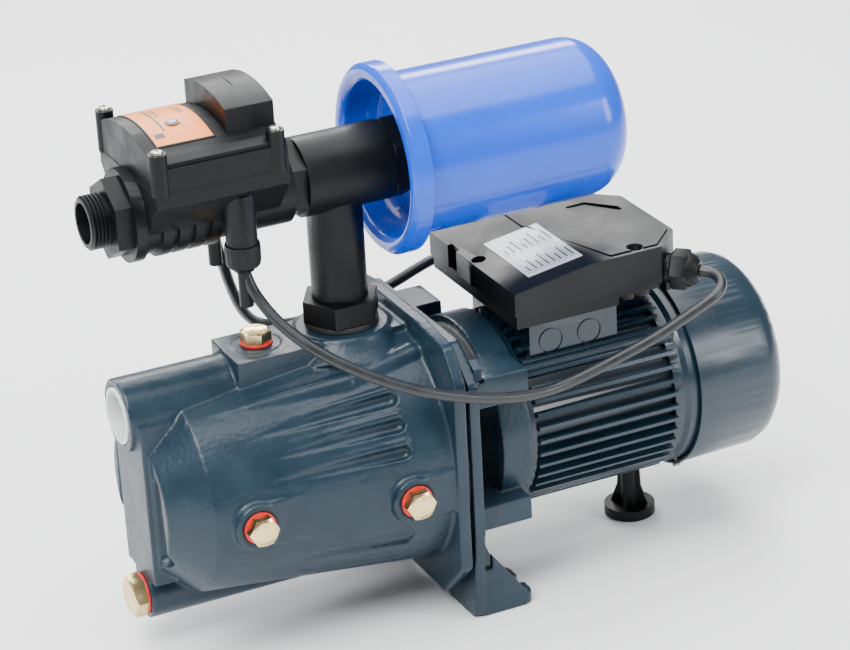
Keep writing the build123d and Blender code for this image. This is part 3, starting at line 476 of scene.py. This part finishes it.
def make_plugs():
    heads = [hex_head((x, -face - 1.5, z), (0, -1, 0), 17, 7.5) for x, z, face in SIDE_BOSSES]
    shanks = [rod((x, -face - 1.6, z), (x, -face + 14.5, z), 6.55) for x, z, face in SIDE_BOSSES]
    piece = join_meshes("side_plug_heads", heads + shanks)
    finish_piece(piece, "brass", replaced=["side_plugs"])
    add_bevel(piece, 0.35)
    head = hex_head((PRIMING_X, 0, PRIMING_SEAT), (0, 0, 1), 17, 7.5)
    shank = rod((PRIMING_X, 0, PRIMING_SEAT - 14), (PRIMING_X, 0, PRIMING_SEAT + 0.1), 6.55)
    piece = join_meshes("priming_plug_head", [head, shank])
    finish_piece(piece, "brass", "priming_plug", ["priming_plug"])
    add_bevel(piece, 0.35)
    head = hex_head((DRAIN_X, 0, KEEL_Z), (-1, 0, 0), 24, 8.5)
    shank = rod((DRAIN_X - 0.1, 0, KEEL_Z), (DRAIN_X + 13, 0, KEEL_Z), 8.2)
    piece = join_meshes("drain_plug_head", [head, shank])
    finish_piece(piece, "brass", "drain_plug", ["drain_plug"])
    add_bevel(piece, 0.45)


def make_screws():
    corners = [(x, y, 337.5) for x in (-195, -122) for y in (-43.7, 43.7)]
    heads = [pan_screw(place, (0, 0, 1), 3.6, 2.4) for place in corners]
    shanks = [rod((x, y, 307), (x, y, z + 0.1), 1.4, sides=16) for x, y, z in corners]
    piece = join_meshes("lid_screw_heads", heads + shanks)
    finish_piece(piece, "zinc_steel", replaced=["controller_screws"])
    heads = [pan_screw(place, (0, 0, 1), 3.6, 2.4) for place in COVER_SCREWS]
    shanks = [rod((x, y, 186.5), (x, y, z + 0.1), 1.6, sides=16) for x, y, z in COVER_SCREWS]
    piece = join_meshes("cover_screw_heads", heads + shanks)
    finish_piece(piece, "zinc_steel", replaced=["terminal_cover_screws"])


def ribbed_nut(base, axis, profile, ribs, rib_from, rib_to, rib_radius, bore):
    """A turned cap with grip ribs round it and a bore for the cord."""
    axis = Vector(axis).normalized()
    cap = lathe(base, axis, profile, 72)
    feet = ring_points(Vector(base) + axis * rib_from[0], axis, rib_from[1], ribs)
    heads = ring_points(Vector(base) + axis * rib_to[0], axis, rib_to[1], ribs)
    bars = [capsule(foot, head, rib_radius, rib_radius * 0.8, 10) for foot, head in zip(feet, heads)]
    piece = join_meshes("nut", [cap] + bars)
    combine(piece, rod(Vector(base) - axis * 3, Vector(base) + axis * 40, bore), "DIFFERENCE")
    return piece


def make_gland_nuts():
    nuts = []
    dome = [(0, 10.6), (9, 10.6), (13, 10.2), (14.2, 9.2), (15, 7.6), (17, 6.2)]
    for x, y in CONTROLLER_GLANDS:
        nut = ribbed_nut((x, y, 268), (0, 0, -1), dome, 18, (2, 10.45), (10.5, 10.35), 0.55, 4.2)
        combine(nut, rod((x, y, 262), (x, y, 270), 9.6), "DIFFERENCE")
        nuts.append(nut)
    finish_piece(join_meshes("controller_nuts", nuts), "black_plastic", replaced=["controller_gland_nuts"])
    base = Vector((133, -50, 193.4))
    axis = Vector((1, -1, 0)).normalized()
    nut = solid_between([ring_points(base + axis * h, axis, r, 6)
                         for h, r in ((3, 12.4), (4, 13.2), (12.6, 13.2), (14, 12.2))])
    taper = [(0, 11.2), (2, 10.8), (6, 8.4), (7.2, 7.2), (8, 6.2)]
    cone = ribbed_nut(base + axis * 13, axis, taper, 12, (0.5, 10.6), (5.6, 8.2), 0.9, 4.2)
    combine(nut, rod(base + axis * 2, base + axis * 12, 9.6), "DIFFERENCE")
    combine(nut, rod(base + axis * 10, base + axis * 30, 4.2), "DIFFERENCE")
    piece = join_meshes("terminal_nut", [nut, cone])
    finish_piece(piece, "black_plastic", replaced=["terminal_gland_nut"])
    add_bevel(piece, 0.4)


# ---------------------------------------------------------------- flow controller
CROWN_HALF, CROWN_EDGE, CROWN_TOP = 45.5, 330.5, 341.0
CROWN_R = (CROWN_HALF ** 2 + (CROWN_TOP - CROWN_EDGE) ** 2) / (2 * (CROWN_TOP - CROWN_EDGE))


def crown(y):
    """Height of the lid's arched top at a distance from its middle."""
    return CROWN_TOP - CROWN_R + math.sqrt(CROWN_R ** 2 - y * y)


def crown_patch(x0, x1, y0, y1, lift, thick=0.12, steps=14):
    """A thin sheet that follows the lid's arched top."""
    rows = []
    for step in range(steps + 1):
        y = y0 + (y1 - y0) * step / steps
        top = crown(y) + lift
        rows.append([(x0, y, top - thick), (x1, y, top - thick), (x1, y, top), (x0, y, top)])
    return solid_between(rows)


def make_thread(base, axis, length, crest, root, bore, pitch=2.309):
    """Rings of a pipe thread round a bore, with a chamfered start."""
    outline = [(0, bore), (0, root - 0.2)]
    height = 0.5
    while height + pitch < length:
        outline += [(height, root), (height + pitch * 0.38, crest), (height + pitch * 0.56, crest),
                    (height + pitch * 0.94, root)]
        height += pitch
    outline += [(length, root), (length, bore)]
    return tube_lathe(base, axis, outline, 72)


def make_controller():
    body = copy_cad("controller_body")
    plain_spigot = [(0, 11), (0, 30), (13.95, 30), (13.95, 11)]
    combine(body, tube_lathe((-230, 0, BRANCH), (1, 0, 0), plain_spigot, 64), "DIFFERENCE")
    finish_piece(body, "black_plastic", replaced=["controller_body"])
    add_bevel(body, 0.8)
    thread = make_thread((-229, 0, BRANCH), (1, 0, 0), 13.2, 16.55, 15.1, 12.5)
    finish_piece(thread, "black_plastic")
    add_bevel(thread, 0.12)
    lid = copy_cad("controller_lid")
    combine(lid, box_solid((-133.1, -9, 355.5), (-131.9, 9, 358)), "DIFFERENCE")
    finish_piece(lid, "black_plastic", replaced=["controller_lid"])
    add_bevel(lid, 1.1, 3)
    seam = prism([(-199.3, -47.3), (-115.7, -47.3), (-115.7, 47.3), (-199.3, 47.3)], 312.3, 313.4)
    combine(seam, box_solid((-196, -44, 310), (-119, 44, 315)), "DIFFERENCE")
    finish_piece(seam, "black_plastic")
    add_bevel(seam, 0.3)


def make_label():
    plate = crown_patch(-190, -155, -31, 31, 0.42, 0.4)
    hole = rod((-172, -9, 320), (-172, -9, 350), 3.3, sides=40)
    combine(plate, hole, "DIFFERENCE")
    finish_piece(plate, "label_orange", replaced=["controller_label"])
    border = [crown_patch(-191, -154, -32.2, -31, 0.5, 0.5), crown_patch(-191, -154, 31, 32.2, 0.5, 0.5),
              crown_patch(-191, -190, -31, 31, 0.5, 0.5), crown_patch(-155, -154, -31, 31, 0.5, 0.5)]
    finish_piece(join_meshes("label_border", border), "black_plastic")
    blocks = [(-187.5, -181.5, -24, -19), (-180.5, -178.8, -17, 22), (-177.3, -176.3, 2, 22),
              (-175, -174, 6, 20), (-163, -162, 4, 20), (-160.6, -159.6, 4, 16), (-168.3, -167.3, -16, -4)]
    ink = [crown_patch(*block, 0.47, 0.06, 6) for block in blocks]
    finish_piece(join_meshes("label_blocks", ink), "label_orange", material="ink")
    ring = tube_lathe((-172, -9, 340.1), (0, 0, 1), [(0, 3.35), (1.25, 3.35), (1.25, 4.5), (0, 4.5)], 48)
    finish_piece(ring, "label_orange", material="ink")
    outline = [(0, 4.4), (2, 4.4), (2, 3.2), (12.2, 3.2), (13.1, 2.6), (13.4, 1.2)]
    lens = lathe((-172, -9, 329), (0, 0, 1), outline, 48)
    finish_piece(lens, "button_red", "restart_button", ["restart_button"])


# ---------------------------------------------------------------- terminal box
def box_top(x, lift=0.0):
    """Height of the terminal cover's top face: a slope, then nearly level."""
    low, ridge, high = (15.0, 204.2), (75.0, 213.5), (148.0, 214.0)
    start, end = (low, ridge) if x < ridge[0] else (ridge, high)
    return start[1] + (end[1] - start[1]) * (x - start[0]) / (end[0] - start[0]) + lift


def make_terminal_box():
    cover = copy_cad("terminal_cover")
    combine(cover, prism([(101, 4), (134, 4), (134, 10), (118, 32), (101, 32)], 213.1, 216), "DIFFERENCE")
    combine(cover, prism([(10, 21), (23, 21), (23, 33), (10, 33)], 188, 216), "DIFFERENCE")
    finish_piece(cover, "cover_plastic", replaced=["terminal_cover"])
    add_bevel(cover, 1.6, 3)
    outline = [(89, -56.5), (122, -56.5), (139.5, -39), (139.5, 25.5), (108.5, 56.5), (66, 56.5), (66, 20)]
    pad = prism(outline, lambda x: box_top(x, -1), lambda x: box_top(x, 0.9))
    window = [(103.5, 5.5), (131.5, 5.5), (131.5, 11), (117, 29.5), (103.5, 29.5)]
    combine(pad, prism(window, 200, 216), "DIFFERENCE")
    for y in (-53, 45):
        combine(pad, rod((108, y, 200), (108, y, 220), 5.2), "DIFFERENCE")
    finish_piece(pad, "cover_plastic")
    add_bevel(pad, 0.6)
    base = copy_cad("terminal_base")
    finish_piece(base, "cover_plastic", replaced=["terminal_base"])
    add_bevel(base, 0.6)


def make_rating_plate():
    def sheet(x0, x1, y0, y1, lift, thick):
        return prism([(x0, y0), (x1, y0), (x1, y1), (x0, y1)], lambda x: box_top(x, lift - thick),
                     lambda x: box_top(x, lift))
    plate = sheet(37, 75, -46, 16, 0.48, 0.46)
    finish_piece(plate, "label_silver", replaced=["rating_plate"])
    add_bevel(plate, 0.15)
    columns = [-42 + 56 * share for share in (0, 0.52, 1)]
    marks = [sheet(39, 73.5, y - 0.12, y + 0.12, 0.53, 0.08) for y in columns]
    for row in range(8):
        x = 42.0 + 4.3 * row
        marks.append(sheet(x - 2.3, x - 2.1, -42, 14, 0.53, 0.08))
        first = 8 + (row * 7) % 11
        second = 7 + (row * 5) % 13
        marks.append(sheet(x - 0.7, x + 0.5, -40, -40 + first, 0.53, 0.08))
        marks.append(sheet(x - 0.7, x + 0.5, -11, -11 + second, 0.53, 0.08))
    finish_piece(join_meshes("plate_marks", marks), "label_silver", material="ink")


# ---------------------------------------------------------------- everything else
BEVELS = {
    "suction_insert": 0.5, "motor_frame": 0.7, "rear_end_shield": 0.6, "fan_cover": 0.5, "rear_foot": 0.9,
    "outlet_nipple": 0.9, "outlet_tee": 0.8, "tank_nipple": 0.9, "tank_front_plate": 0.9, "tank_shell": 0.5,
    "nipple_seal": 0.6, "plug_washers": 0.35, "flange_bolts": 0.6, "mains_plug": 1.0, "plug_pins": 0.8,
    "fan_cover_screws": 0.5, "tank_valve_cap": 0.8, "terminal_block": 0.5, "run_capacitor": 0.8,
}
MADE_APART = {
    "pump_casing", "motor_bracket", "side_plugs", "priming_plug", "drain_plug", "controller_screws",
    "terminal_cover_screws", "controller_gland_nuts", "terminal_gland_nut", "controller_body",
    "controller_lid",
    "controller_label", "restart_button", "terminal_cover", "terminal_base", "rating_plate", "jumper_cord",
    "mains_cord", "mains_cord_coil",
}


def make_pieces():
    make_casing()
    make_bracket()
    make_plugs()
    make_screws()
    make_gland_nuts()
    make_controller()
    make_label()
    make_terminal_box()
    make_rating_plate()
    for node in NODES:
        if node not in MADE_APART:
            refine(node, BEVELS.get(node, 0.2))


make_pieces()


# ---------------------------------------------------------------- cords
CORD_WIDTH = 7 * MM
JUMPER_ROUTE = [
    (-144.5, -35, 251), (-142.8, -37.3, 241.5), (-139, -43.5, 232), (-134, -51.5, 223),
    (-127.5, -60, 215), (-118.5, -69.5, 206.5), (-105, -79.5, 197), (-86, -88, 186),
    (-64, -94, 175.5), (-42, -95.5, 167), (-21, -95.5, 160), (0, -94.5, 155), (20, -92, 152),
    (41, -89, 152.5), (63, -88, 157), (84, -88.5, 162.8), (104, -89, 169), (121.5, -88.8, 176),
    (136, -88.3, 181.5), (146.9, -87.4, 185.7), (152.5, -83.5, 188.8), (154.8, -77, 191.7),
    (152.9, -69.9, 193.4), (147.85, -64.85, 193.4)]
MAINS_ROUTE = [
    (-136.5, 34, 251), (-135, 35, 241), (-131, 39.5, 229.5), (-125.5, 47, 213), (-119, 56, 197),
    (-111, 66, 180.5), (-101, 76, 166), (-87, 85.5, 155), (-69, 93.5, 148.5), (-48, 99, 146),
    (-27, 99.5, 147), (-8, 96.5, 153), (8, 91, 161), (22, 87, 169), (37, 85.5, 174.5),
    (53, 87, 174.5), (68, 91.5, 168.5), (80, 98, 156.5), (87.5, 105.5, 139.5), (90.5, 112.5, 117.5),
    (90, 117.5, 93), (86.5, 119.5, 68.5), (79, 118, 47), (66, 114.5, 30), (49, 110.5, 18.5),
    (30, 108.7, 12.5), (12, 108.5, 10.5)]
LEAD_ROUTE = [(12, 187.5, 3.5), (26, 187.5, 3.5), (39, 187.5, 6.5), (51, 187.5, 12), (62, 187.5, 18.5)]


def coil_points(centre, outer, inner, high, low, turns, steps):
    """Turns in two rings and two layers: in on the upper layer, out again on the lower one, clockwise."""
    points = []
    count = int(turns * steps)
    for step in range(1, count):
        done = step / steps
        inward = min(max((done - 1.05) / 0.35, 0), 1) - min(max((done - 3.3) / 0.35, 0), 1)
        downward = min(max((done - 2.15) / 0.4, 0), 1)
        radius = outer + (inner - outer) * inward
        angle = -math.pi / 2 - 2 * math.pi * done
        points.append((centre[0] + radius * math.cos(angle), centre[1] + radius * math.sin(angle),
                       high + (low - high) * downward))
    return points


def cord_curve(name, route, body=UNIT):
    curve = bpy.data.curves.new(name, "CURVE")
    curve.dimensions = "3D"
    spline = curve.splines.new("NURBS")
    spline.points.add(len(route) - 1)
    for point, place in zip(spline.points, route):
        point.co = (*(MM * c for c in place), 1)
    spline.order_u = 3
    spline.use_endpoint_u = True
    spline.resolution_u = 12
    curve.bevel_depth = CORD_WIDTH / 2
    curve.bevel_resolution = 6
    curve.use_fill_caps = True
    piece = bpy.data.objects.new(name, curve)
    bpy.context.scene.collection.objects.link(piece)
    curve.materials.append(MATERIALS["cord_rubber"])
    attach(piece, body)
    return piece


def make_cords():
    jumper = cord_curve("jumper_lead", JUMPER_ROUTE)
    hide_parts("jumper_cord")
    turns = coil_points((12, 148), 39.5, 32.5, 10.5, 3.5, 4.5, 20)
    mains = cord_curve("mains_lead", MAINS_ROUTE + turns + LEAD_ROUTE)
    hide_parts("mains_cord", "mains_cord_coil")
    return jumper, mains


JUMPER, MAINS = make_cords()


# ---------------------------------------------------------------- floor, light and camera
def make_stage():
    bpy.ops.mesh.primitive_plane_add(size=6, location=(0, 0, -0.0005))
    floor = bpy.context.object
    floor.name = "floor"
    material, tree, shader, place = new_material("floor_paper")
    tint = add_range(tree, add_noise(tree, place, 3), 0, 1)
    tree.links.new(add_mix(tree, tint, (0.86, 0.87, 0.88), (0.89, 0.90, 0.91)), shader.inputs["Base Color"])
    shader.inputs["Roughness"].default_value = 0.8
    floor.data.materials.append(material)
    world = bpy.data.worlds.new("studio")
    world.use_nodes = True
    world.node_tree.nodes["Background"].inputs["Color"].default_value = (0.93, 0.95, 0.97, 1)
    world.node_tree.nodes["Background"].inputs["Strength"].default_value = 0.42
    bpy.context.scene.world = world


def area_light(name, place, target, size, power, tint=(1, 1, 1)):
    light = bpy.data.lights.new(name, "AREA")
    light.shape = "RECTANGLE"
    light.size, light.size_y = size
    light.energy = power
    light.color = tint
    holder = bpy.data.objects.new(name, light)
    holder.location = place
    holder.rotation_mode = "QUATERNION"
    holder.rotation_quaternion = (Vector(target) - Vector(place)).to_track_quat("-Z", "Y")
    bpy.context.scene.collection.objects.link(holder)


def make_lights():
    middle = (0, 0, 0.17)
    area_light("key_soft_box", (-0.9, -0.6, 1.4), middle, (0.7, 0.7), 30)
    area_light("side_soft_box", (1.2, -1.3, 0.8), middle, (0.5, 0.9), 16)
    area_light("back_strip", (0.3, 1.4, 1.1), middle, (1.4, 0.3), 26)
    area_light("overhead_sheet", (0, 0.3, 2.6), middle, (3.2, 3.2), 190)


CAMERA_PLACE = (-0.72235, -1.56209, 0.94106)
CAMERA_AZIMUTH, CAMERA_HEIGHT, CAMERA_ROLL = -24.4, 24.2, 3.2


def make_camera():
    """A long lens that looks at the pump from the front left and above, rolled a little."""
    azimuth, height, roll = (math.radians(a) for a in (CAMERA_AZIMUTH, CAMERA_HEIGHT, CAMERA_ROLL))
    level_share = math.cos(height)
    ahead = Vector((-math.sin(azimuth) * level_share, math.cos(azimuth) * level_share, -math.sin(height)))
    level = ahead.cross(Vector((0, 0, 1))).normalized()
    below = ahead.cross(level)
    right = math.cos(roll) * level + math.sin(roll) * below
    down = math.cos(roll) * below - math.sin(roll) * level
    data = bpy.data.cameras.new("camera")
    data.sensor_width = 36
    data.lens = 127.06
    camera = bpy.data.objects.new("camera", data)
    turn = Matrix((right, -down, -ahead)).transposed()
    camera.matrix_world = Matrix.Translation(CAMERA_PLACE) @ turn.to_4x4()
    bpy.context.scene.collection.objects.link(camera)
    bpy.context.scene.camera = camera


make_stage()
make_lights()
make_camera()
